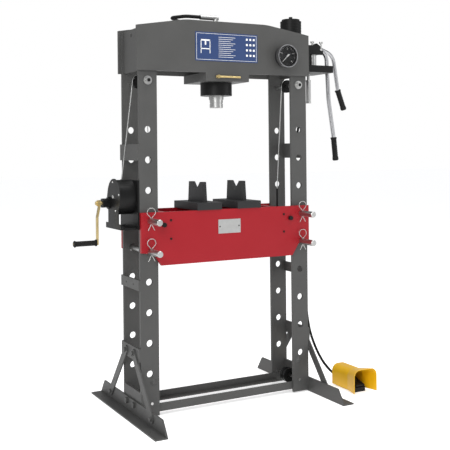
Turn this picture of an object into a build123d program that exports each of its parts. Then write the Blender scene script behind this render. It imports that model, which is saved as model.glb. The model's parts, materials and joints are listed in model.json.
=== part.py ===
from build123d import *
import os
from math import atan2, cos, degrees, hypot, radians, sin, tan

os.makedirs("parts", exist_ok=True)

# Overall frame
upright_in, upright_out = 339, 423
upright_thick = 12
upright_face = 101
upright_top = 1660
upright_bottom = 6
hole_x = 381
hole_pitch = 130
hole_first = 186.5
hole_count = 9
hole_radius = 15
fit_gap = 0.3
running_fit = 0.08

# Head beam
beam_half = 434
beam_plate = 12
beam_bottom, beam_side_top, beam_top = 1477, 1668, 1705
beam_flat_half = 205
beam_blend = 300
tab_half, tab_bottom = 109, 1441
end_plate_out, end_plate_thick = 414, 10

# Cylinder and ram
bore_radius = 56
barrel_radius = 75
collar_radius, collar_bottom = 72, 1382
gland_radius, gland_bottom = 33.5, 1365
ram_radius, ram_bottom = 30, 1327
piston_low, piston_high = 1600, 1640

# Ropes and sheaves
axle_radius = 8
sheave_z, sheave_radius = 1436, 30
rope_radius, rope_seat = 2.2, 28.5
roller_x, roller_z, roller_radius = 373, 60, 34
roller_seat = 31
anchor_z = 1330

# Feet
foot_out, foot_half, foot_height = 479, 375, 65
leg_thick = 8
flange_thick = 6

# Bed
bed_gap = 1
bed_thick = 14
bed_top, bed_bottom = 873, 645
bed_hole_rows = (836.5, 706.5)
pin_radius, pin_front, pin_back = 13.5, -220, 150
clip_y, wire_radius = -128, 1.5

# V-blocks
block_in, block_out, block_half = 40, 160, 122
slab_thick = 32
jaw_thick, jaw_height = 18, 89

# Gauge
gauge_x, gauge_z, gauge_radius = 284, 1561, 52

# Winch
winch_y, winch_z, winch_radius = -8, 940, 77
crank_y, crank_z = 48, 911
drum_y, drum_z, drum_radius = -8, 940, 24
pinion_radius, gear_radius = 10, 52.9

# Pump levers
long_pivot = (545, 0, 1637)
short_pivot = (600, 60, 1640)

# Foot pedal and air hose
pedal_x = 621
hose_radius = 6
air_end = (604, -78, 44)


def box(x0, x1, y0, y1, z0, z1):
    """Block between two corners."""
    size = Box(abs(x1 - x0), abs(y1 - y0), abs(z1 - z0))
    return Pos((x0 + x1) / 2, (y0 + y1) / 2, (z0 + z1) / 2) * size


def rod_x(radius, x0, x1, y, z):
    """Round bar along X."""
    return Pos((x0 + x1) / 2, y, z) * Rot(0, 90, 0) * Cylinder(radius, abs(x1 - x0))


def rod_y(radius, y0, y1, x, z):
    """Round bar along Y."""
    return Pos(x, (y0 + y1) / 2, z) * Rot(90, 0, 0) * Cylinder(radius, abs(y1 - y0))


def rod_z(radius, z0, z1, x, y):
    """Round bar along Z."""
    return Pos(x, y, (z0 + z1) / 2) * Cylinder(radius, abs(z1 - z0))


def hex_x(radius, x0, x1, y, z):
    """Hexagon bar along X."""
    bar = extrude(RegularPolygon(radius, 6), abs(x1 - x0))
    return Pos(min(x0, x1), y, z) * Rot(0, 90, 0) * bar


def plate_xz(points, y0, y1):
    """Flat plate with an outline in X and Z, between two Y faces."""
    face = make_face(Polyline(*points, close=True))
    return Pos(0, y1, 0) * Rot(90, 0, 0) * extrude(face, y1 - y0)


def plate_yz(points, x0, x1):
    """Flat plate with an outline in Y and Z, between two X faces."""
    face = make_face(Polyline(*points, close=True))
    return Plane.YZ * Pos(0, 0, x0) * extrude(face, x1 - x0)


def flip_x(shape):
    """The same shape on the other side in X."""
    return mirror(shape, Plane.YZ)


def flip_y(shape):
    """The same shape on the other side in Y."""
    return mirror(shape, Plane.XZ)


def group(shapes):
    """Separate solids kept together as one piece."""
    solids = []
    for shape in shapes:
        solids.extend(shape.solids())
    return Compound(children=solids)


def tube(points, radii, radius):
    """Round bar swept along straight runs with rounded corners."""
    path = FilletPolyline(*points, radius=radii)
    start = Plane(origin=path @ 0, z_dir=path % 0)
    return sweep(start * Circle(radius), path=path)


def bar_between(start, end, radius):
    """Straight round bar between two points."""
    path = Line(start, end)
    return sweep(Plane(origin=path @ 0, z_dir=path % 0) * Circle(radius), path=path)


def uprights():
    """Four flat bars with the rows of bed holes."""
    bars = []
    for side in (-1, 1):
        for depth in (-1, 1):
            inner = depth * (upright_face - upright_thick)
            outer = depth * upright_face
            bar = box(side * upright_in, side * upright_out, inner, outer,
                      upright_bottom, upright_top)
            for index in range(hole_count):
                height = hole_first + index * hole_pitch
                bar -= rod_y(hole_radius, inner, outer, side * hole_x, height)
            bar -= rod_y(axle_radius, inner, outer, side * hole_x, sheave_z)
            bar -= rod_y(6, inner, outer, side * roller_x, roller_z)
            bars.append(bar)
    return group(bars)


def beam_plate_front():
    """Front plate of the head beam with its centre tab."""
    points = [
        (-beam_half, beam_bottom), (-tab_half, beam_bottom), (-tab_half, tab_bottom),
        (tab_half, tab_bottom), (tab_half, beam_bottom), (beam_half, beam_bottom),
        (beam_half, beam_side_top), (beam_flat_half, beam_top),
        (-beam_flat_half, beam_top), (-beam_half, beam_side_top),
    ]
    plate = plate_xz(points, -upright_face - beam_plate, -upright_face)
    edges = [edge for edge in plate.edges().filter_by(Axis.Y)
             if abs(abs(edge.center().X) - beam_flat_half) < 1 and edge.center().Z > 1700]
    return fillet(edges, beam_blend)


def beam_plate_rear():
    """Rear plate of the head beam."""
    return flip_y(beam_plate_front())


def beam_end_plates():
    """Cross plates between the uprights at both ends of the beam."""
    inner = upright_face - upright_thick
    plate = box(end_plate_out - end_plate_thick, end_plate_out, -inner, inner,
                beam_bottom, beam_side_top - 6)
    plate -= rod_x(8, end_plate_out - end_plate_thick, end_plate_out, 0, 1636)
    return group([plate, flip_x(plate)])


def cylinder_saddle():
    """Block between the beam plates that holds the cylinder."""
    block = box(-tab_half, tab_half, -upright_face, upright_face, tab_bottom, 1479)
    return block - rod_z(barrel_radius, tab_bottom, 1479, 0, 0)


def cylinder_barrel():
    """Cylinder barrel with a closed top and the oil port."""
    barrel = rod_z(barrel_radius, tab_bottom, 1700, 0, 0)
    barrel -= rod_z(bore_radius, tab_bottom, 1684, 0, 0)
    barrel += rod_z(15, 1700, 1716, 0, 0)
    return barrel


def cylinder_collar():
    """Collar under the saddle."""
    collar = rod_z(collar_radius, collar_bottom, tab_bottom, 0, 0)
    collar -= rod_z(bore_radius, collar_bottom + 8, tab_bottom, 0, 0)
    collar -= rod_z(gland_radius, collar_bottom, collar_bottom + 8, 0, 0)
    return collar


def cylinder_gland():
    """Gland ring that guides the ram."""
    gland = rod_z(bore_radius, collar_bottom + 8, collar_bottom + 40, 0, 0)
    gland += rod_z(gland_radius, gland_bottom, collar_bottom + 8, 0, 0)
    return gland - rod_z(ram_radius + running_fit, gland_bottom, collar_bottom + 40, 0, 0)


def ram():
    """Ram with its piston and the groove near the tip."""
    shape = rod_z(ram_radius, ram_bottom, piston_low, 0, 0)
    shape += rod_z(bore_radius - fit_gap, piston_low, piston_high, 0, 0)
    groove = rod_z(ram_radius + 5, 1346, 1350, 0, 0) - rod_z(ram_radius - 2, 1346, 1350, 0, 0)
    shape -= groove
    return chamfer(shape.faces().sort_by(Axis.Z)[0].edges(), 1.5)


def head_lock_rod():
    """Small rod carried on the front of the tab."""
    face = -upright_face - beam_plate
    rod = rod_x(4.5, -62, 60, face - 7, 1460)
    rod += rod_y(8, face - 13, face, -50, 1460)
    return rod


def data_panel():
    """Thin plain panel on the beam."""
    face = -upright_face - beam_plate
    return box(-160, 154, face - 1, face, 1528, 1655)


def gauge_case():
    """Body of the pressure gauge with its stem."""
    face = -upright_face - beam_plate
    case = rod_y(gauge_radius - 3, face - 57, face - 20, gauge_x, gauge_z)
    case -= rod_y(gauge_radius - 6, face - 57, face - 46, gauge_x, gauge_z)
    case += rod_y(16, face - 20, face, gauge_x, gauge_z)
    return case


def gauge_bezel():
    """Ring round the gauge glass."""
    face = -upright_face - beam_plate
    ring = rod_y(gauge_radius, face - 57, face - 36, gauge_x, gauge_z)
    return ring - rod_y(gauge_radius - 3, face - 57, face - 36, gauge_x, gauge_z)


def gauge_dial():
    """Dial disc with the needle spindle."""
    face = -upright_face - beam_plate
    dial = rod_y(gauge_radius - 6, face - 48, face - 46, gauge_x, gauge_z)
    dial += rod_y(1.5, face - 52, face - 48, gauge_x, gauge_z)
    return dial


def gauge_glass():
    """Glass in front of the needle."""
    face = -upright_face - beam_plate
    return rod_y(gauge_radius - 6, face - 57, face - 54.5, gauge_x, gauge_z)


def gauge_needle():
    """Needle with a wide tail, pointing to zero at lower left."""
    face = -upright_face - beam_plate
    blade = plate_xz([(-9, -4), (-14, 4), (0, 1.8), (36, 0.6), (36, -0.6), (0, -1.8)], -1, 0)
    blade += rod_y(4, -1.5, 0.5, 0, 0)
    blade -= rod_y(1.5 + running_fit, -2, 1, 0, 0)
    return Pos(gauge_x, face - 50.3, gauge_z) * Rot(0, 135, 0) * blade


def foot(side):
    """Angle foot with cut top corners, floor holes and bolt holes."""
    top = foot_height
    outline = [(-373, flange_thick), (-330, top), (330, top), (373, flange_thick),
               (foot_half, flange_thick), (foot_half, 0), (-foot_half, 0),
               (-foot_half, flange_thick)]
    shape = plate_yz(outline, upright_out, upright_out + leg_thick)
    shape += box(upright_out, foot_out, -foot_half, foot_half, 0, flange_thick)
    for depth in (-287, 287):
        shape -= rod_z(8, 0, flange_thick, 455, depth)
    for depth in (-41, 41):
        shape -= rod_x(8, upright_out, upright_out + leg_thick, depth, 49)
    for depth in (-233, 233):
        shape -= rod_x(6, upright_out, upright_out + leg_thick, depth, 41)
    return shape if side > 0 else flip_x(shape)


def side_plates():
    """Cross plates on the outer edges of the uprights, and the foot plates."""
    plates = []
    outer = upright_out + leg_thick
    brace_plate = box(upright_out, outer, -upright_face, upright_face, 241, 297)
    for depth in (-43, 43):
        brace_plate -= rod_x(6, upright_out, outer, depth, 270)
    middle = box(upright_out, outer, -upright_face, upright_face, 543, 588)
    for depth in (-40, 40):
        middle -= rod_x(4, upright_out, outer, depth, 565)
    upper = box(upright_out, outer, -upright_face, upright_face, 1094, 1164)
    upper -= rod_x(4, upright_out, outer, 40, 1129)
    inner = upright_face - upright_thick
    base = box(upright_out - 12, upright_out, -inner, inner, upright_bottom, 110)
    for depth in (-41, 41):
        base -= rod_x(8, upright_out - 12, upright_out, depth, 49)
    for plate in (brace_plate, base):
        plates.extend([plate, flip_x(plate)])
    plates.extend([flip_x(middle), flip_x(upper)])
    for low, high in ((543, 588), (1094, 1164)):
        plates.append(box(upright_out - 8, upright_out, -inner, inner, low, high))
    return group(plates)


def braces():
    """Four diagonal flat bars from the uprights to the feet."""
    bars = []
    outer = upright_out + leg_thick
    rise, run = 270 - 41, 233 - 43
    bar = extrude(SlotCenterToCenter(hypot(rise, run), 35), 6)
    angle = degrees(atan2(-rise, run))
    bar = Plane.YZ * Pos((233 + 43) / 2, (270 + 41) / 2, outer) * Rot(0, 0, angle) * bar
    bar -= rod_x(6, outer, outer + 6, 43, 270)
    bar -= rod_x(6, outer, outer + 6, 233, 41)
    for shape in (bar, flip_y(bar)):
        bars.extend([shape, flip_x(shape)])
    return group(bars)


def lower_ties():
    """Two angles between the uprights near the floor."""
    inner = upright_face - upright_thick
    tie = box(-358, 358, inner - 5, inner, 18, 53)
    tie += box(-358, 358, inner - 35, inner, 18, 23)
    return group([tie, flip_y(tie)])


def frame_bolts():
    """Hexagon bolts of the feet and braces, and the dome-head stop bolts."""
    bolts = []
    outer = upright_out + leg_thick
    for depth in (-41, 41):
        bolt = hex_x(13, outer, outer + 10, depth, 49)
        bolt += rod_x(8, upright_out - 12, outer, depth, 49)
        bolts.append(bolt)
    for depth in (-1, 1):
        for y, z in ((43, 270), (233, 41)):
            bolt = hex_x(10, outer + 6, outer + 14, depth * y, z)
            bolt += rod_x(6, upright_out, outer + 6, depth * y, z)
            bolts.append(bolt)
        dome = Pos(367, depth * upright_face, 151) * Rot(-90 * depth, 0, 0) * Cone(15, 7, 9)
        bolts.append(Pos(0, depth * 4.5, 0) * dome)
    return group(bolts + [flip_x(bolt) for bolt in bolts])


def axles():
    """Silver bolts through the sheaves and rods through the rollers."""
    shapes = []
    for side in (-1, 1):
        bolt = rod_y(axle_radius, -upright_face, upright_face, side * hole_x, sheave_z)
        bolt += rod_y(19, -upright_face - 2.5, -upright_face, side * hole_x, sheave_z)
        bolt += rod_y(13, -upright_face - 14, -upright_face - 2.5, side * hole_x, sheave_z)
        bolt += rod_y(13, upright_face, upright_face + 11, side * hole_x, sheave_z)
        shapes.append(bolt)
        shapes.append(rod_y(6, -upright_face, upright_face, side * roller_x, roller_z))
    return group(shapes)


def grooved_wheel(radius, seat, half_width, groove, bore, x, z):
    """Wheel about Y with a round rope groove."""
    wheel = rod_y(radius, -half_width, half_width, 0, 0)
    wheel -= Rot(90, 0, 0) * Torus(seat + groove - rope_radius - fit_gap, groove)
    wheel -= rod_y(bore + running_fit, -half_width, half_width, 0, 0)
    return Pos(x, 0, z) * wheel


def sheave(side):
    """Upper rope sheave."""
    return grooved_wheel(sheave_radius, rope_seat, 9, 3, axle_radius, side * hole_x, sheave_z)


def roller(side):
    """Lower rope roller."""
    wheel = grooved_wheel(roller_radius, roller_seat, 18, 4, 6, side * roller_x, roller_z)
    hub = rod_y(14, -26, 26, 0, 0) - rod_y(6 + running_fit, -26, 26, 0, 0)
    return wheel + Pos(side * roller_x, 0, roller_z) * hub


def bed_plates():
    """Front and rear plates of the bed."""
    points = [(-upright_out, bed_top), (-upright_out, 703), (-365, 698), (-331, bed_bottom),
              (331, bed_bottom), (365, 698), (upright_out, 703), (upright_out, bed_top)]
    inner = upright_face + bed_gap
    plate = plate_xz(points, inner, inner + bed_thick)
    for side in (-1, 1):
        for height in bed_hole_rows:
            plate -= rod_y(pin_radius + 0.1, inner, inner + bed_thick, side * hole_x, height)
        for height in (836.5, 757):
            plate -= rod_y(4, inner, inner + bed_thick, side * 285, height)
    return group([plate, flip_y(plate)])


def bed_spacers():
    """Cross blocks that join the two bed plates."""
    inner = upright_face + bed_gap
    blocks = []
    for height in (836.5, 757):
        block = box(270, 300, -inner, inner, height - 30, height + 30)
        block -= rod_y(4, -inner, inner, 285, height)
        blocks.extend([block, flip_x(block)])
    blocks.append(box(-170, 170, -inner, inner, 660, 680))
    return group(blocks)


def bed_bolts():
    """Through bolts and knobs of the bed."""
    outer = upright_face + bed_gap + bed_thick
    shapes = []
    for height in (836.5, 757):
        bolt = rod_y(4, -outer, outer, 285, height)
        bolt += rod_y(5, -outer - 2, -outer, 285, height)
        bolt += rod_y(5, outer, outer + 2, 285, height)
        shapes.append(bolt)
    shapes.append(rod_y(10, -outer - 12, -outer, 319, 818))
    return group(shapes + [flip_x(shape) for shape in shapes])


def rope_anchors():
    """Rope ends held between the bed spacers."""
    shapes = []
    for side in (-1, 1):
        lug = box(side * 300, side * 330, -12, 12, 820, 850)
        lug += rod_z(5, 850, 950, side * 322, 0)
        shapes.append(lug)
    return group(shapes)


def bed_pin(side, depth_row):
    """Bed pin along Y with its spring clip."""
    height = bed_hole_rows[depth_row]
    pin = rod_y(pin_radius, pin_front, pin_back, 0, 0)
    pin = chamfer(pin.edges().filter_by(GeomType.CIRCLE), 2)
    wire = [(-15, -38), (-2.2, -15), (-2.2, 15), (-22, 36), (-12, 56),
            (12, 56), (22, 36), (2.2, 15), (2.2, -15), (15, -38)]
    points = [(x, clip_y, z) for x, z in wire]
    pin += tube(points, [8, 8, 14, 14, 14, 14, 8, 8], wire_radius)
    return Pos(side * hole_x, 0, height) * pin


def v_block(side):
    """Slab with an upright plate that has a V notch."""
    slab = box(block_in, block_out, -block_half, block_half, bed_top, bed_top + slab_thick)
    base = bed_top + slab_thick
    top = base + jaw_height
    outline = [(-79, base), (79, base), (70, top), (42, top), (0, top - 42),
               (-42, top), (-70, top)]
    slab += plate_yz(outline, 100 - jaw_thick / 2, 100 + jaw_thick / 2)
    return slab if side > 0 else flip_x(slab)


def winch_bracket():
    """Carrier of the winch on the left upright, with the drum spindle."""
    inner = upright_face - upright_thick
    shape = box(-upright_out - 8, -upright_out, -upright_face, upright_face, 802, 1010)
    shape -= rod_x(40, -upright_out - 8, -upright_out, drum_y, drum_z)
    shape += box(-500, -upright_out - 8, -inner, inner, 802, 810)
    rings = Pos(winch_y, winch_z) * Circle(winch_radius) + Pos(crank_y, crank_z) * Circle(32)
    side = Plane.YZ * Pos(0, 0, -504) * extrude(make_hull(rings.edges()), 4)
    side += box(-504, -500, -inner, inner, 802, 826)
    side += box(-504, -500, -60, 60, 826, 920)
    side += rod_x(26, -511, -504, crank_y, crank_z) + rod_x(20, -538, -511, crank_y, crank_z)
    side -= rod_x(8 + running_fit, -538, -500, crank_y, crank_z)
    side += rod_x(6, -500, -upright_out, drum_y, drum_z)
    bridge = box(-upright_out - 8, -upright_out, drum_y - 6, drum_y + 6,
                 drum_z - 41, drum_z + 41)
    return shape + side + bridge


def winch_cover():
    """Rear arc of the winch cover, open at the top for the rope."""
    ring = rod_x(winch_radius, -500, -431, winch_y, winch_z)
    ring -= rod_x(winch_radius - 3, -500, -431, winch_y, winch_z)
    ring -= box(-500, -431, -34, 28, winch_z, winch_z + 90)
    ring -= box(-500, -431, winch_y - 90, winch_y + 100, 800, 860)
    return ring


def winch_drum():
    """Rope drum with its pitch disc."""
    drum = rod_x(drum_radius, -492, -436, drum_y, drum_z)
    drum += rod_x(gear_radius, -492, -488, drum_y, drum_z)
    drum += rod_x(38, -439, -436, drum_y, drum_z)
    return drum - rod_x(6 + running_fit, -492, -436, drum_y, drum_z)


def crank():
    """Crank with its shaft, pinion, offset arm and hub."""
    shape = rod_x(8, -566, -482, crank_y, crank_z)
    shape += rod_x(pinion_radius, -497, -484, crank_y, crank_z)
    shape += hex_x(13, -560, -552, crank_y, crank_z)
    outline = [(-546, 924), (-552, 924), (-552, 900), (-562, 850), (-562, 732),
               (-556, 732), (-556, 850), (-546, 898)]
    shape += plate_xz(outline, crank_y - 10, crank_y + 10)
    shape += rod_x(6, -664, -562, crank_y, 741)
    return shape


def crank_grip():
    """Free grip on the crank."""
    grip = rod_x(11.5, -662, -563, crank_y, 741)
    grip += rod_x(14.5, -662, -658, crank_y, 741) + rod_x(14.5, -568, -563, crank_y, 741)
    return grip - rod_x(6 + running_fit, -662, -563, crank_y, 741)


def pump_bracket():
    """Angle shelf that carries the pump on the right end of the beam."""
    inner = upright_face - upright_thick
    shape = box(beam_half, 590, -inner, inner, 1501, 1509)
    shape += box(beam_half, beam_half + 8, -upright_face - beam_plate,
                 upright_face + beam_plate, 1501, 1600)
    shape += box(beam_half + 8, 590, -inner, 8 - inner, 1509, 1534)
    shape += box(582, 590, 8 - inner, inner, 1509, 1534)
    return shape


def pump_body():
    """Pump casting with the fork ears of both levers."""
    shape = box(444, 556, -30, 84, 1593, 1617)
    shape += box(556, 574, -30, -18, 1593, 1612)
    shape += box(444, 556, -30, -18, 1617, 1637)
    shape += box(556, 575, 36, 84, 1593, 1617)
    shape += box(beam_half + 8, 470, -30, 30, 1509, 1637)
    for y in (-17, 11):
        shape += box(533, 557, y, y + 6, 1617, 1637)
        shape += rod_y(12, y, y + 6, long_pivot[0], long_pivot[2])
    for y in (43, 71):
        shape += plate_xz([(556, 1600), (584, 1600), (612, 1640), (600, 1652),
                           (588, 1640), (556, 1617)], y, y + 6)
    shape += rod_y(4, -17, 17, long_pivot[0], long_pivot[2])
    shape += rod_y(4, 43, 77, short_pivot[0], short_pivot[2])
    shape += rod_z(20, 1617, 1674, 472, 100) + rod_z(28, 1593, 1617, 472, 100)
    return shape


def pump_fittings():
    """Bright barrels, thumb screws and the hanging air tube."""
    shapes = [rod_z(19.5, 1509, 1593, 530, 0), rod_z(17, 1509, 1593, 530, 60)]
    silencer = rod_z(11.5, 1360, 1465, 506, 0) + rod_z(7, 1465, 1501, 506, 0)
    for z in (1357, 1462):
        silencer += Pos(506, 0, z) * extrude(RegularPolygon(14, 6), 8)
    shapes.append(silencer)
    shapes.append(rod_z(9, 1470, 1501, 506, 45))
    for x, base in ((515, 1637), (566, 1612)):
        shapes.append(rod_z(4, base, 1648, x, -24) + rod_z(9, 1648, 1656, x, -24))
    return group(shapes)


def reservoir():
    """Ribbed oil reservoir with its filler knob."""
    shape = rod_z(52, 1674, 1765, 472, 100)
    for index in range(6):
        z = 1680 + index * 14
        shape -= rod_z(53, z, z + 5, 472, 100) - rod_z(50.8, z, z + 5, 472, 100)
    shape += rod_z(44, 1765, 1775, 472, 100) + rod_z(9, 1775, 1788, 472, 100)
    return shape


def lever(points, radii, radius, width, hub):
    """Bent lever tube with the hub at its pivot."""
    x, y, z = points[0]
    bore = 4 + running_fit
    shape = rod_y(hub, y - width, y + width, x, z)
    shape += tube(points, radii, radius)
    return shape - rod_y(bore, y - 20, y + 20, x, z)


def long_lever():
    """Long pump lever."""
    x, y, z = long_pivot
    return lever([long_pivot, (613, 0, 1597), (624, 0, 1376), (652, 0, 1191), (663, 0, 1080)],
                 [55, 200, 300], 9.75, 10.6, 12)


def short_lever():
    """Short release lever."""
    return lever([short_pivot, (695, 60, 1606), (723, 60, 1430), (759, 60, 1333)],
                 [70, 150], 9, 10.6, 12)


def rope_arc(wheel, start, end):
    """Rope lying round a wheel between two angles."""
    x, z, radius = wheel
    first = (x + radius * cos(radians(start)), 0, z + radius * sin(radians(start)))
    middle = radians((start + end) / 2)
    mid = (x + radius * cos(middle), 0, z + radius * sin(middle))
    last = (x + radius * cos(radians(end)), 0, z + radius * sin(radians(end)))
    path = ThreePointArc(first, mid, last)
    return sweep(Plane(origin=path @ 0, z_dir=path % 0) * Circle(rope_radius), path=path)


def rope_fixed():
    """Rope from the winch over the left sheave, and over the right sheave to its end."""
    left_top = (-hole_x, sheave_z, rope_seat)
    right_top = (hole_x, sheave_z, rope_seat)
    drum_side = drum_y + drum_radius + rope_radius + fit_gap
    winch_run = bar_between((-466, drum_side, drum_z + 2), (-hole_x - rope_seat, 0, sheave_z),
                            rope_radius)
    left_arc = rope_arc(left_top, 180, 0)
    upper = rope_arc(right_top, 180, 0)
    outer = hole_x + rope_seat
    down = bar_between((outer, 0, sheave_z), (outer, 0, anchor_z + 20), rope_radius)
    return group([winch_run, left_arc, upper, down])


def rope_drop(side):
    """Rope from an upper sheave down to the bed."""
    top = (side * (hole_x - rope_seat), 0, sheave_z - 0.2)
    return bar_between(top, (side * 322, 0, 950.2), rope_radius)


def rope_dead_end():
    """Bar on the front right upright that holds the fixed end of the rope."""
    inner = upright_face - upright_thick
    outer = hole_x + rope_seat
    shape = box(outer - 6, outer + 6, -inner, 8, anchor_z - 12, anchor_z)
    return shape + rod_z(5, anchor_z, anchor_z + 20, outer, 0)


def top_fitting():
    """Hose with its fitting from the cylinder over the beam."""
    shape = rod_z(11, 1716, 1735, 0, 0) + rod_x(11, -79, 12, 0, 1738)
    return shape


def oil_hose():
    """Oil hose from the fitting round to the pump."""
    points = [(-79, 0, 1738), (-150, 0, 1738), (-190, 70, 1738), (-120, 150, 1738),
              (60, 165, 1738), (240, 170, 1740), (400, 172, 1736), (505, 172, 1690),
              (545, 140, 1606), (545, 84, 1606)]
    return tube(points, [28, 28, 40, 60, 60, 60, 40, 28], 8)


def pedal_base():
    """Base of the foot pedal with the treadle hinge."""
    shape = box(pedal_x - 31, pedal_x + 31, -232, -85, 0, 8)
    for side in (-1, 1):
        shape += box(pedal_x + side * 31, pedal_x + side * 26, -232, -85, 8, 22)
    shape += box(pedal_x - 26, pedal_x + 26, -232, -222, 8, 20)
    shape += box(pedal_x - 20, pedal_x + 20, -110, -92, 8, 34)
    shape += rod_x(4, pedal_x - 26, pedal_x + 26, -214, 16)
    return shape


def hood_outline(half, bottom, height, radius):
    """Points of a hood section with rounded roof corners."""
    points = [(half, bottom), (half, height - radius)]
    for step in range(1, 7):
        a = radians(step * 15)
        points.append((half - radius + radius * cos(a), height - radius + radius * sin(a)))
    mirrored = [(-x, z) for x, z in reversed(points)]
    return points + mirrored


def pedal_guard():
    """Guard hood over the foot pedal."""
    sections = []
    for y, half, height in ((-276, 65, 115), (-197, 45, 102)):
        face = make_face(Polyline(*hood_outline(half, 8, height, 32), close=True))
        sections.append(Plane(origin=(pedal_x, y, 0), x_dir=(1, 0, 0), z_dir=(0, -1, 0)) * face)
    hood = loft(sections)
    inner = []
    for y, half, height in ((-276, 62, 112), (-197, 42, 99)):
        face = make_face(Polyline(*hood_outline(half, 8, height, 29), close=True))
        inner.append(Plane(origin=(pedal_x, y, 0), x_dir=(1, 0, 0), z_dir=(0, -1, 0)) * face)
    hood -= loft(inner)
    outline = [(x + pedal_x, z) for x, z in hood_outline(45, 8, 102, 32)]
    hollow = [(x + pedal_x, z) for x, z in hood_outline(42, 8, 99, 29)]
    rear = plate_xz(outline, -197, -75) - plate_xz(hollow, -197, -78)
    hood += rear
    for side in (-1, 1):
        hood += box(pedal_x + side * 31, pedal_x + side * 45, -190, -90, 8, 11)
    hood -= rod_y(hose_radius + fit_gap, -80, -70, air_end[0], air_end[2])
    return hood


def treadle():
    """Wedge treadle hinged at its front edge."""
    outline = [(-222, 24), (-120, 50), (-118, 66), (-236, 34), (-236, 26)]
    shape = plate_yz(outline, pedal_x - 24, pedal_x + 24)
    shape += rod_x(7, pedal_x - 24, pedal_x + 24, -214, 16)
    shape += box(pedal_x - 24, pedal_x + 24, -220, -208, 16, 32)
    return shape - rod_x(4 + running_fit, pedal_x - 24, pedal_x + 24, -214, 16)


air_points = [
    (506, 45, 1470), (506, 45, 1395), (494, 46, 1310), (466, 46, 1205), (450, 45, 1080),
    (448, 46, 930),
    (454, 45, 780), (466, 46, 640), (484, 45, 500), (510, 46, 370), (524, 42, 255),
    (545, 28, 175), (568, 4, 108), (590, -22, 66), (604, -52, 44), (604, -84, 44),
]


def corner_radii(points):
    """One bend radius for each inner point of a hose."""
    radii = []
    for before, here, after in zip(points, points[1:], points[2:]):
        a, b = Vector(*here) - Vector(*before), Vector(*after) - Vector(*here)
        turn = radians(a.get_angle(b))
        radii.append(0.45 * min(a.length, b.length) / tan(turn / 2))
    return radii


def air_hose():
    """Air hose from the pump down to the foot pedal."""
    return tube(air_points, corner_radii(air_points), hose_radius)


parts = {
    "uprights": uprights(),
    "beam_front_plate": beam_plate_front(),
    "beam_rear_plate": beam_plate_rear(),
    "beam_end_plates": beam_end_plates(),
    "cylinder_saddle": cylinder_saddle(),
    "cylinder_barrel": cylinder_barrel(),
    "cylinder_collar": cylinder_collar(),
    "cylinder_gland": cylinder_gland(),
    "ram": ram(),
    "head_lock_rod": head_lock_rod(),
    "data_panel": data_panel(),
    "gauge_case": gauge_case(),
    "gauge_bezel": gauge_bezel(),
    "gauge_dial": gauge_dial(),
    "gauge_glass": gauge_glass(),
    "gauge_needle": gauge_needle(),
    "foot_left": foot(-1),
    "foot_right": foot(1),
    "side_plates": side_plates(),
    "braces": braces(),
    "lower_ties": lower_ties(),
    "frame_bolts": frame_bolts(),
    "axles": axles(),
    "sheave_left": sheave(-1),
    "sheave_right": sheave(1),
    "roller_left": roller(-1),
    "roller_right": roller(1),
    "bed_plates": bed_plates(),
    "bed_spacers": bed_spacers(),
    "bed_bolts": bed_bolts(),
    "rope_anchors": rope_anchors(),
    "bed_pin_left_upper": bed_pin(-1, 0),
    "bed_pin_left_lower": bed_pin(-1, 1),
    "bed_pin_right_upper": bed_pin(1, 0),
    "bed_pin_right_lower": bed_pin(1, 1),
    "v_block_left": v_block(-1),
    "v_block_right": v_block(1),
    "winch_bracket": winch_bracket(),
    "winch_cover": winch_cover(),
    "winch_drum": winch_drum(),
    "crank": crank(),
    "crank_grip": crank_grip(),
    "pump_bracket": pump_bracket(),
    "pump_body": pump_body(),
    "pump_fittings": pump_fittings(),
    "reservoir": reservoir(),
    "long_lever": long_lever(),
    "short_lever": short_lever(),
    "rope_fixed": rope_fixed(),
    "rope_drop_left": rope_drop(-1),
    "rope_drop_right": rope_drop(1),
    "rope_dead_end": rope_dead_end(),
    "top_fitting": top_fitting(),
    "oil_hose": oil_hose(),
    "pedal_base": pedal_base(),
    "pedal_guard": pedal_guard(),
    "treadle": treadle(),
    "air_hose": air_hose(),
}

for node, shape in parts.items():
    export_step(shape, f"parts/{node}.step")
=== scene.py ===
# %% [markdown]
# # A hydraulic shop press
# The imported model is the fixed frame. Its steel parts keep their shape and get
# finishes here. Small pieces that give the press its detail, such as grips, dial
# marks and hose ends, are made new. The camera and the air hose come first.

# %% Load the frame
import json
from math import cos, pi, radians, sin

import bmesh
import bpy
from mathutils import Matrix, Vector


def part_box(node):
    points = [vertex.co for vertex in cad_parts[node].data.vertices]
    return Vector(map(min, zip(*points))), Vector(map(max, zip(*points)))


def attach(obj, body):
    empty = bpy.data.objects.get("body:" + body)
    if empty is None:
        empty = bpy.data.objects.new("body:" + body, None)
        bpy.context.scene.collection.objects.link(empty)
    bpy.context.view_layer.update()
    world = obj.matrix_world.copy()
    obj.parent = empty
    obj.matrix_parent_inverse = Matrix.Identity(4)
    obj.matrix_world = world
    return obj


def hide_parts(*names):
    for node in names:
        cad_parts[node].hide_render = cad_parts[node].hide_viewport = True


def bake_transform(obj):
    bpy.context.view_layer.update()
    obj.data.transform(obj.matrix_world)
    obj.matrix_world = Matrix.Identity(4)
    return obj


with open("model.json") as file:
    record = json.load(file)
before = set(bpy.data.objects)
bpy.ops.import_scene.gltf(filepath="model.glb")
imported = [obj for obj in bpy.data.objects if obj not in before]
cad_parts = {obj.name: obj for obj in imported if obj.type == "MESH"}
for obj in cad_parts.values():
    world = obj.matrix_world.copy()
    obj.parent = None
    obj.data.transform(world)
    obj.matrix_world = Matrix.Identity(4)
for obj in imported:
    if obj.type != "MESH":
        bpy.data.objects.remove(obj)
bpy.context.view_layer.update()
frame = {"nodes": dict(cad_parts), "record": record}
scene = bpy.context.scene

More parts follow.
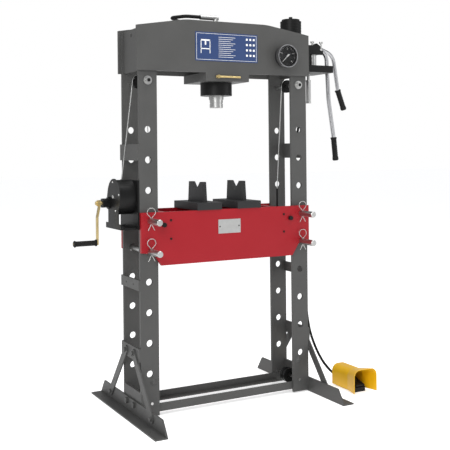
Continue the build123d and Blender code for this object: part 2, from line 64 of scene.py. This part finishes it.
# %% [markdown]
# ## Camera
# The press is seen from its left front, with the eye at about a person's chest.
# A long lens keeps the uprights nearly parallel. The view is shifted down in
# place of tilting the camera, as is usual for tall machines, so that upright
# edges stay upright.

# %% Place the camera
eye = Vector((-1.7765, -3.3958, 1.1399))
yaw, tilt, roll = radians(28.188), radians(0.294), radians(-0.55)
camera_data = bpy.data.cameras.new("camera")
camera = bpy.data.objects.new("camera", camera_data)
scene.collection.objects.link(camera)
camera_data.lens = 67.05
camera_data.sensor_width = 36
camera_data.shift_y = -0.1786
camera_data.clip_end = 100
turn = Matrix.Rotation(-yaw, 4, "Z") @ Matrix.Rotation(pi / 2 + tilt, 4, "X")
camera.matrix_world = Matrix.Translation(eye) @ turn @ Matrix.Rotation(roll, 4, "Z")
scene.camera = camera
print("camera at", [round(v, 3) for v in eye])

# %% [markdown]
# ## Tone
# The plain "Standard" view keeps the paint colours as they are mixed, where a
# film-like view would wash them out against the bright surroundings.

# %% Choose the view transform
scene.view_settings.view_transform = "Standard"

# %% [markdown]
# ## Floor and light
# The press stands on a pale sweep under large soft lamps. Three area lamps do
# that: one wide lamp from the left front, one from above, and one low fill from
# the right. The surroundings look white but give less light than
# they show, so that dark paint stays dark. The floor glows a little, as a lit
# sweep does, and meets the surroundings without a line.

# %% Floor, lamps and surroundings
def area_lamp(name, place, aim, size, power):
    """A large square lamp that points at a place on the press."""
    data = bpy.data.lights.new(name, "AREA")
    data.size, data.energy = size, power
    lamp = bpy.data.objects.new(name, data)
    scene.collection.objects.link(lamp)
    lamp.location = place
    lamp.rotation_euler = (Vector(aim) - Vector(place)).to_track_quat("-Z", "Y").to_euler()
    return lamp


area_lamp("key lamp", (-3.4, -3.6, 3.2), (0, 0, 0.9), 2.2, 125)
area_lamp("top lamp", (0.4, -0.6, 4.2), (0, 0, 1), 2.6, 95)
area_lamp("fill lamp", (3.6, -2.6, 1.6), (0, 0, 0.8), 2.2, 22)

world = bpy.data.worlds.new("surroundings")
scene.world = world
world.use_nodes = True
sky, sky_link = world.node_tree.nodes, world.node_tree.links.new
shown, light = sky["Background"], sky.new("ShaderNodeBackground")
shown.inputs["Color"].default_value = (1, 1, 1, 1)
shown.inputs["Strength"].default_value = 1.0
light.inputs["Color"].default_value = (0.97, 0.98, 1, 1)
light.inputs["Strength"].default_value = 0.5
path, choose = sky.new("ShaderNodeLightPath"), sky.new("ShaderNodeMixShader")
sky_link(path.outputs["Is Camera Ray"], choose.inputs["Fac"])
sky_link(light.outputs["Background"], choose.inputs[1])
sky_link(shown.outputs["Background"], choose.inputs[2])
sky_link(choose.outputs["Shader"], sky["World Output"].inputs["Surface"])

floor_mesh = bmesh.new()
bmesh.ops.create_grid(floor_mesh, x_segments=1, y_segments=1, size=30)
floor_data = bpy.data.meshes.new("floor")
floor_mesh.to_mesh(floor_data)
floor_mesh.free()
floor = bpy.data.objects.new("floor", floor_data)
scene.collection.objects.link(floor)
floor.location.z = -0.0005
floor_paint = bpy.data.materials.new("pale floor")
floor_paint.use_nodes = True
floor_shader = floor_paint.node_tree.nodes["Principled BSDF"]
floor_shader.inputs["Base Color"].default_value = (0.9, 0.9, 0.9, 1)
floor_shader.inputs["Roughness"].default_value = 0.9
floor_shader.inputs["Specular IOR Level"].default_value = 0.1
floor_shader.inputs["Emission Color"].default_value = (1, 1, 1, 1)
floor_shader.inputs["Emission Strength"].default_value = 0.55
floor.data.materials.append(floor_paint)

# %% [markdown]
# ## Shared surface effects
# Paint, plating and rubber all carry three faint things: a cloudy change of
# tone, fine grain in the surface, and dust or rubbing. One node group makes all
# of them from Object coordinates, so the pattern stays on the piece as it moves,
# and each material places it with its own values.

# %% The surface group
def surface_group():
    """A group with tone, roughness and grain that change over the surface."""
    group = bpy.data.node_groups.new("surface life", "ShaderNodeTree")
    face = group.interface
    for label, kind in (("Colour", "NodeSocketColor"), ("Worn colour", "NodeSocketColor"),
                        ("Tone scale", "NodeSocketFloat"), ("Wear", "NodeSocketFloat"),
                        ("Roughness", "NodeSocketFloat"), ("Grain scale", "NodeSocketFloat"),
                        ("Grain depth", "NodeSocketFloat")):
        face.new_socket(label, in_out="INPUT", socket_type=kind)
    face.new_socket("Colour", in_out="OUTPUT", socket_type="NodeSocketColor")
    face.new_socket("Roughness", in_out="OUTPUT", socket_type="NodeSocketFloat")
    face.new_socket("Normal", in_out="OUTPUT", socket_type="NodeSocketVector")
    nodes, link = group.nodes, group.links.new
    start, end = nodes.new("NodeGroupInput"), nodes.new("NodeGroupOutput")
    place = nodes.new("ShaderNodeTexCoord")

    tone = nodes.new("ShaderNodeTexNoise")
    tone.inputs["Detail"].default_value = 6
    link(place.outputs["Object"], tone.inputs["Vector"])
    link(start.outputs["Tone scale"], tone.inputs["Scale"])
    spread = nodes.new("ShaderNodeMapRange")
    spread.inputs["From Min"].default_value = 0.35
    spread.inputs["From Max"].default_value = 0.75
    link(tone.outputs["Fac"], spread.inputs["Value"])
    link(start.outputs["Wear"], spread.inputs["To Max"])
    mix = nodes.new("ShaderNodeMix")
    mix.data_type = "RGBA"
    link(spread.outputs["Result"], mix.inputs["Factor"])
    link(start.outputs["Colour"], mix.inputs["A"])
    link(start.outputs["Worn colour"], mix.inputs["B"])
    link(mix.outputs["Result"], end.inputs["Colour"])

    rub = nodes.new("ShaderNodeMath")
    rub.operation = "MULTIPLY_ADD"
    rub.inputs[1].default_value = 0.22
    link(tone.outputs["Fac"], rub.inputs[0])
    link(start.outputs["Roughness"], rub.inputs[2])
    link(rub.outputs["Value"], end.inputs["Roughness"])

    grain = nodes.new("ShaderNodeTexNoise")
    grain.inputs["Detail"].default_value = 3
    link(place.outputs["Object"], grain.inputs["Vector"])
    link(start.outputs["Grain scale"], grain.inputs["Scale"])
    bump = nodes.new("ShaderNodeBump")
    bump.inputs["Distance"].default_value = 0.0006
    link(start.outputs["Grain depth"], bump.inputs["Strength"])
    link(grain.outputs["Fac"], bump.inputs["Height"])
    link(bump.outputs["Normal"], end.inputs["Normal"])
    return group


surface = surface_group()
print("surface inputs", [item.name for item in surface.interface.items_tree
                         if item.in_out == "INPUT"])


def finish_of(name, colour, worn, wear=0.3, tone=9, rough=0.35, grain=700, depth=0.12,
              metal=0.0, coat=0.0, gloss=0.5):
    """A material with the surface group in front of its shader."""
    material = bpy.data.materials.new(name)
    material.use_nodes = True
    nodes, link = material.node_tree.nodes, material.node_tree.links.new
    shader = nodes["Principled BSDF"]
    life = nodes.new("ShaderNodeGroup")
    life.node_tree = surface
    values = {"Colour": (*colour, 1), "Worn colour": (*worn, 1), "Tone scale": tone,
              "Wear": wear, "Roughness": rough, "Grain scale": grain, "Grain depth": depth}
    for label, value in values.items():
        life.inputs[label].default_value = value
    link(life.outputs["Colour"], shader.inputs["Base Color"])
    link(life.outputs["Roughness"], shader.inputs["Roughness"])
    link(life.outputs["Normal"], shader.inputs["Normal"])
    shader.inputs["Metallic"].default_value = metal
    shader.inputs["Specular IOR Level"].default_value = gloss
    shader.inputs["Coat Weight"].default_value = coat
    shader.inputs["Coat Roughness"].default_value = 0.2
    return material


# %% [markdown]
# ## The finishes
# The frame is powder coated in dark grey, with a fine orange peel. The bed is
# glossy red enamel. Fixings are bright zinc, with yellow zinc on the crank. The
# levers are chromed, and the grips and hoses are dull black rubber.

# %% Materials by the record's slots
finishes = {
    "frame_grey": finish_of("grey powder coat", (0.066, 0.066, 0.064), (0.09, 0.089, 0.087),
                            wear=0.35, rough=0.38, depth=0.18, coat=0.02, gloss=0.25),
    "black_metal": finish_of("black enamel", (0.006, 0.006, 0.006), (0.016, 0.016, 0.016),
                             rough=0.3, coat=0.04, gloss=0.16),
    "v_block_grey": finish_of("dark grey enamel", (0.02, 0.02, 0.021), (0.034, 0.034, 0.034),
                              rough=0.4, gloss=0.25),
    "bed_red": finish_of("red enamel", (0.29, 0.005, 0.011), (0.33, 0.009, 0.016),
                         wear=0.3, rough=0.28, depth=0.12, coat=0.1, gloss=0.22),
    "bright_steel": finish_of("bright zinc", (0.5, 0.5, 0.49), (0.3, 0.3, 0.3),
                              tone=40, rough=0.22, grain=1500, metal=1.0),
    "yellow_zinc": finish_of("yellow zinc", (0.6, 0.46, 0.2), (0.38, 0.34, 0.24),
                             tone=45, rough=0.25, grain=1500, metal=1.0),
    "chrome": finish_of("chrome", (0.46, 0.46, 0.47), (0.36, 0.36, 0.37), wear=0.3,
                        rough=0.12, grain=1500, depth=0.03, metal=1.0),
    "panel_blue": finish_of("blue panel", (0.016, 0.04, 0.13), (0.02, 0.05, 0.15), rough=0.3),
    "gauge_black": finish_of("gauge black", (0.01, 0.01, 0.011), (0.02, 0.02, 0.02), rough=0.35),
    "needle_white": finish_of("needle white", (0.85, 0.85, 0.83), (0.75, 0.75, 0.72), rough=0.4),
    "rubber_black": finish_of("black rubber", (0.009, 0.009, 0.009), (0.022, 0.022, 0.021),
                              rough=0.5, grain=2200, depth=0.35, gloss=0.16),
    "plastic_black": finish_of("black plastic", (0.008, 0.008, 0.008), (0.018, 0.018, 0.018),
                               rough=0.34, grain=1200, gloss=0.16),
    "guard_yellow": finish_of("yellow guard paint", (0.74, 0.42, 0.004), (0.66, 0.35, 0.006),
                              rough=0.3, coat=0.12, gloss=0.3),
}
glass = bpy.data.materials.new("gauge glass")
glass.use_nodes = True
glass_shader = glass.node_tree.nodes["Principled BSDF"]
glass_shader.inputs["Transmission Weight"].default_value = 1.0
glass_shader.inputs["Roughness"].default_value = 0.02
glass_shader.inputs["IOR"].default_value = 1.2
finishes["glass"] = glass

slot_of = {part["node"]: part["material_slot"] for part in frame["record"]["subparts"]}
for node, piece in frame["nodes"].items():
    for index in range(len(piece.material_slots)):
        piece.material_slots[index].material = finishes[slot_of[node]]
    if not piece.material_slots:
        piece.data.materials.append(finishes[slot_of[node]])
print("finished nodes", len(slot_of))

# %% [markdown]
# ## The air hose
# A black rubber hose, 12 mm thick, runs from the pump down behind the right
# upright and curves forward into the foot pedal. It is one NURBS curve with the
# route's points as its control points, because a hose bends smoothly under its
# own weight.

# %% Lay the hose
hose_points = [
    (0.506, 0.045, 1.470), (0.506, 0.045, 1.395), (0.494, 0.046, 1.310),
    (0.466, 0.046, 1.205), (0.450, 0.045, 1.080), (0.448, 0.046, 0.930),
    (0.454, 0.045, 0.780), (0.466, 0.046, 0.640), (0.484, 0.045, 0.500),
    (0.510, 0.046, 0.370), (0.524, 0.042, 0.255), (0.545, 0.028, 0.175),
    (0.568, 0.004, 0.108), (0.590, -0.022, 0.066), (0.604, -0.052, 0.044),
    (0.604, -0.084, 0.044),
]
hose_radius = 0.006
hose_curve = bpy.data.curves.new("air hose line", "CURVE")
hose_curve.dimensions = "3D"
hose_curve.bevel_depth = hose_radius
hose_curve.bevel_resolution = 6
hose_curve.use_fill_caps = True
line = hose_curve.splines.new("NURBS")
line.points.add(len(hose_points) - 1)
for point, place in zip(line.points, hose_points):
    point.co = (*place, 1)
line.order_u = 3
line.use_endpoint_u = True
line.resolution_u = 12
hose = bpy.data.objects.new("air_hose_rubber", hose_curve)
scene.collection.objects.link(hose)
hose.data.materials.append(finishes["rubber_black"])
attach(hose, "frame")
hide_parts("air_hose")
print("hose control points", len(hose_points))

# %% [markdown]
# ## Turned and cut pieces
# Grips, collars and caps are turned on a lathe, so each is a profile spun about
# its axis. Flat marks and plates are cubes that are scaled, bevelled and put in
# place. Both helpers leave the object at the origin, with its place in its mesh.

# %% Helpers for small pieces
def keep(bm, name, slot, body):
    """Turn a finished bmesh into a piece that rides on a body, or stands alone without one."""
    bmesh.ops.remove_doubles(bm, verts=bm.verts, dist=1e-6)
    bmesh.ops.recalc_face_normals(bm, faces=bm.faces)
    mesh = bpy.data.meshes.new(name)
    bm.to_mesh(mesh)
    bm.free()
    piece = bpy.data.objects.new(name, mesh)
    scene.collection.objects.link(piece)
    piece.data.materials.append(finishes[slot])
    if body:
        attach(piece, body)
    return piece


def turned(bm, profile, start, direction, steps=48):
    """Spin a profile of (radius, distance along) about a line from start."""
    along = Vector(direction).normalized()
    place = Matrix.Translation(Vector(start)) @ along.to_track_quat("Z", "Y").to_matrix().to_4x4()
    verts = [bm.verts.new(place @ Vector((radius, 0, far))) for radius, far in profile]
    edges = [bm.edges.new(pair) for pair in zip(verts, verts[1:])]
    bmesh.ops.spin(bm, geom=verts + edges, cent=Vector(start), axis=along, angle=2 * pi,
                   steps=steps, use_merge=True, use_duplicate=False)


def plate(bm, centre, size, turn=None, bevel=0.0):
    """A block with its edges rounded."""
    made = bmesh.ops.create_cube(bm, size=1)["verts"]
    bmesh.ops.scale(bm, vec=Vector(size), verts=made)
    if bevel:
        edges = list({edge for vert in made for edge in vert.link_edges})
        bevelled = bmesh.ops.bevel(bm, geom=edges, offset=bevel, segments=3, profile=0.5,
                                   affect="EDGES", material=-1)
        made = list({v for v in bevelled["verts"]} | {v for v in made if v.is_valid})
    matrix = Matrix.Translation(Vector(centre)) @ (turn or Matrix.Identity(4))
    bmesh.ops.transform(bm, matrix=matrix, verts=made)


def smooth(piece, angle=35):
    """Smooth shading that keeps edges sharper than the angle."""
    for polygon in piece.data.polygons:
        polygon.use_smooth = True
    piece.data.set_sharp_from_angle(angle=radians(angle))
    return piece


# %% [markdown]
# ## Lever grips
# Each pump lever ends in a soft grip with rings that stop the hand sliding. The
# rings are part of the spun profile.

# %% Make the grips
def grip_profile(length, radius, rings):
    """Profile of a ringed hand grip with a flange at the lever and a round end."""
    profile = [(0.0, -0.001), (radius + 0.0012, -0.001), (radius + 0.0018, 0.004),
               (radius, 0.008)]
    pitch = (length - 0.026) / rings
    for index in range(rings):
        base = 0.011 + index * pitch
        profile += [(radius, base), (radius - 0.0012, base + pitch * 0.15),
                    (radius - 0.0012, base + pitch * 0.35), (radius, base + pitch * 0.5)]
    return profile + [(radius + 0.0012, length - 0.008), (radius + 0.0012, length - 0.002),
                      (radius * 0.8, length + 0.002), (0.0, length + 0.003)]


grip_radius, grip_rings = 0.0138, 9
for name, body, top, bottom in (
        ("long_lever_grip", "long_lever", (0.652, 0, 1.191), (0.663, 0, 1.080)),
        ("short_lever_grip", "short_lever", (0.723, 0.06, 1.430), (0.759, 0.06, 1.333))):
    bm = bmesh.new()
    reach = Vector(bottom) - Vector(top)
    turned(bm, grip_profile(reach.length, grip_radius, grip_rings), top, reach)
    smooth(keep(bm, name, "rubber_black", body))
    print(name, "length", round(reach.length, 4))

# %% [markdown]
# ## Crank grip cap
# The crank's free grip has a small black cap on its outer end.

# %% Make the cap
low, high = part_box("crank_grip")
grip_y, grip_z = (low[1] + high[1]) / 2, (low[2] + high[2]) / 2
cap_reach = 0.006
bm = bmesh.new()
turned(bm, [(0.0065, 0.0), (0.0122, 0.0), (0.0126, -0.006), (0.011, -0.009), (0.0065, -0.0095),
            (0.0065, 0.0)],
       (low[0] + cap_reach, grip_y, grip_z), (1, 0, 0))
smooth(keep(bm, "crank_grip_cap", "plastic_black", "grip"))
print("cap on the grip at", round(low[0], 4))

# %% [markdown]
# ## Gauge face
# The dial is black with white marks round three quarters of a turn, long ones
# at the numbers. The marks are thin raised blocks, and the numbers are a plain
# typeface made into mesh.

# %% Dial marks and numbers
dial_low, dial_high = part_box("gauge_dial")
dial_x, dial_z = (dial_low[0] + dial_high[0]) / 2, (dial_low[2] + dial_high[2]) / 2
marks_y, mark_thick = -0.1613, 0.0003
mark_ring, number_ring = 0.043, 0.0325
first_mark, sweep_turn, mark_steps = radians(225), radians(270), 40
bm = bmesh.new()
for index in range(mark_steps + 1):
    angle = first_mark - sweep_turn * index / mark_steps
    long_mark = index % 5 == 0
    reach = 0.006 if long_mark else 0.003
    width = 0.0011 if long_mark else 0.0005
    distance = mark_ring - reach / 2
    centre = (dial_x + distance * cos(angle), marks_y, dial_z + distance * sin(angle))
    plate(bm, centre, (reach, mark_thick, width), Matrix.Rotation(-angle, 4, "Y"))
keep(bm, "dial_marks", "needle_white", "frame")

for index in range(0, 9, 2):
    angle = first_mark - sweep_turn * index / 8
    text = bpy.data.curves.new("dial number", "FONT")
    text.body = str(index * 5)
    text.size, text.extrude = 0.0065, 0.0001
    text.align_x, text.align_y = "CENTER", "CENTER"
    sample = bpy.data.objects.new("dial number", text)
    mesh = bpy.data.meshes.new_from_object(sample)
    place = Matrix.Translation((dial_x + number_ring * cos(angle), marks_y,
                                dial_z + number_ring * sin(angle)))
    mesh.transform(place @ Matrix.Rotation(pi / 2, 4, "X"))
    number = bpy.data.objects.new("dial_number_%d" % index, mesh)
    bpy.data.objects.remove(sample)
    scene.collection.objects.link(number)
    number.data.materials.clear()
    number.data.materials.append(finishes["needle_white"])
    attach(number, "frame")
print("dial marks", mark_steps + 1)

# %% [markdown]
# ## Data panel
# A thin blue panel sits on the beam. It has a pale border and a plain picture
# of a frame and ram in lines, with no lettering.

# %% Border and line picture
low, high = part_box("data_panel")
front, wide, tall = low[1], high[0] - low[0], high[2] - low[2]
middle_x, middle_z = (low[0] + high[0]) / 2, (low[2] + high[2]) / 2
lines_y, line_thick = front - 0.0001, 0.0003
border_inset, border_width = 0.006, 0.0012
bm = bmesh.new()
for side in (-1, 1):
    plate(bm, (middle_x, lines_y, middle_z + side * (tall / 2 - border_inset)),
          (wide - 2 * border_inset, line_thick, border_width))
    plate(bm, (middle_x + side * (wide / 2 - border_inset), lines_y, middle_z),
          (border_width, line_thick, tall - 2 * border_inset))
picture_x = low[0] + 0.05
for offset, height, size_x, size_z in ((-0.022, 0, 0.003, 0.06), (0.022, 0, 0.003, 0.06),
                                       (0, 0.028, 0.047, 0.006), (0, -0.010, 0.047, 0.004),
                                       (0, 0.016, 0.007, 0.018)):
    plate(bm, (picture_x + offset, lines_y, middle_z + height), (size_x, line_thick, size_z))
for row in range(11):
    reach = 0.085 - 0.012 * (row % 3)
    plate(bm, (middle_x - 0.042 + reach / 2, lines_y, middle_z + 0.044 - row * 0.0088),
          (reach, line_thick, 0.0015))
for column in range(3):
    for row in range(4):
        plate(bm, (high[0] - 0.055 + column * 0.018, lines_y, middle_z + 0.04 - row * 0.024),
              (0.009, line_thick, 0.009))
keep(bm, "panel_lines", "needle_white", "frame")
print("panel", round(wide, 3), "by", round(tall, 3))

# %% [markdown]
# ## Maker's plate
# A plain bright plate with rounded corners and two rivets sits on the middle of
# the bed, blank on purpose.

# %% Plate and rivets
bed_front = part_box("bed_plates")[0][1]
plate_z, plate_size, rivet_x = 0.797, (0.112, 0.0014, 0.062), 0.048
bm = bmesh.new()
plate(bm, (0, bed_front - 0.0006, plate_z), plate_size, bevel=0.0005)
keep(bm, "bed_plate_blank", "bright_steel", "bed")
bm = bmesh.new()
for side in (-1, 1):
    turned(bm, [(0.0, 0.0), (0.0035, 0.0), (0.0025, 0.0012), (0.0, 0.0018)],
           (side * rivet_x, bed_front - 0.0013, plate_z), (0, -1, 0), 20)
keep(bm, "bed_plate_rivets", "black_metal", "bed")
print("plate", plate_size[0], "by", plate_size[2])

# %% [markdown]
# ## Hose ends
# Each end of the air hose is crimped into a bright collar; the real fitting has a
# hexagon, which is left out here. A turned round collar hides where the rubber meets the metal.

# %% Collars
hose_x, hose_z = hose_points[-1][0], hose_points[-1][2]
guard_back_y = -0.0752
bm = bmesh.new()
turned(bm, [(0.0063, 0.0), (0.0095, 0.0), (0.0095, 0.012), (0.0088, 0.014), (0.0088, 0.024),
            (0.0075, 0.028), (0.0063, 0.028), (0.0063, 0.0)], hose_points[0], (0, 0, -1))
smooth(keep(bm, "hose_collar_top", "bright_steel", "frame"))
bm = bmesh.new()
turned(bm, [(0.0063, 0.0), (0.0095, 0.0), (0.0095, 0.010), (0.0085, 0.014), (0.0063, 0.014),
            (0.0063, 0.0)],
       (hose_x, guard_back_y, hose_z), (0, 1, 0))
smooth(keep(bm, "hose_collar_pedal", "bright_steel", "frame"))
print("collars at", hose_points[0], "and", (hose_x, guard_back_y, hose_z))

# %% [markdown]
# ## Bolt heads
# The silver bolts at the top of the uprights have hexagon sockets. A thin black
# hexagon on each head is painted shade that stands for the socket's recess.

# %% Painted socket shade
bolt_x, bolt_face_y, bolt_z, socket_shade_radius = 0.381, -0.1151, 1.436, 0.0085
bm = bmesh.new()
for side in (-1, 1):
    made = bmesh.ops.create_cone(bm, segments=6, cap_ends=True, radius1=socket_shade_radius,
                                 radius2=socket_shade_radius, depth=0.0004)["verts"]
    place = (Matrix.Translation((side * bolt_x, bolt_face_y, bolt_z))
             @ Matrix.Rotation(pi / 2, 4, "X"))
    bmesh.ops.transform(bm, matrix=place, verts=made)
# Painted shade: the flat black hexagons stand for the shade inside each socket.
keep(bm, "bolt_socket_painted_shade", "black_metal", "frame")
print("sockets across", 2 * socket_shade_radius)

# %% [markdown]
# ## Treadle ribs
# The rubber treadle has cross ribs for the shoe.

# %% Make the ribs
bm = bmesh.new()
treadle_x, rib_count, rib_pitch, first_rib_y = 0.621, 8, 0.0145, -0.2295
toe_y, toe_z, rise = -0.236, 0.034, 0.032 / 0.118
slope = Matrix.Rotation(radians(15.2), 4, "X")
for index in range(rib_count):
    y = first_rib_y + index * rib_pitch
    z = toe_z + (y - toe_y) * rise
    plate(bm, (treadle_x, y, z + 0.0004), (0.042, 0.005, 0.0024), slope, 0.0008)
keep(bm, "treadle_ribs", "rubber_black", "treadle")
print("treadle ribs", rib_count)

# %% [markdown]
# ## Winch details
# The winch's side plate carries a domed nut on the drum spindle and three small
# rivets, which give the round cover its maker's look.

# %% Nut and rivets
side_plate_x, drum_y, drum_z, rivet_ring = -0.504, -0.008, 0.940, 0.063
bm = bmesh.new()
turned(bm, [(0.0, -0.006), (0.007, -0.0058), (0.0085, -0.004), (0.0085, 0.0), (0.0, 0.0)],
       (side_plate_x, drum_y, drum_z), (1, 0, 0), 6)
for angle in (80, 170, 250):
    place = (side_plate_x, drum_y + rivet_ring * cos(radians(angle)),
             drum_z + rivet_ring * sin(radians(angle)))
    turned(bm, [(0.0, -0.003), (0.003, -0.0024), (0.0045, 0.0), (0.0, 0.0)], place, (1, 0, 0), 20)
keep(bm, "winch_nut_and_rivets", "bright_steel", "frame")
print("rivet ring radius", rivet_ring)

# %% [markdown]
# ## Rope drops
# A steel rope drops from each upper sheave to the bed, and its free length
# changes as the bed slides. Each is a tube of many short rings that runs from
# the sheave down to the bed and rides on no body.

# %% Make the drops
drop_rings, rope_radius = 48, 0.0022
sheave_x, sheave_z, bed_end_x, bed_end_z = 0.3525, 1.4358, 0.322, 0.9502
for side, label in ((-1, "left"), (1, "right")):
    top = Vector((side * sheave_x, 0, sheave_z))
    bottom = Vector((side * bed_end_x, 0, bed_end_z))
    reach = (bottom - top).length
    profile = [(rope_radius, reach * step / drop_rings) for step in range(drop_rings + 1)]
    bm = bmesh.new()
    turned(bm, [(0.0, 0.0)] + profile + [(0.0, reach)], top, bottom - top, 12)
    drop = smooth(keep(bm, "rope_drop_steel_" + label, "bright_steel", None))
    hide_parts("rope_drop_" + label)
    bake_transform(drop)
    print("rope drop", label, "length", round(reach, 4))
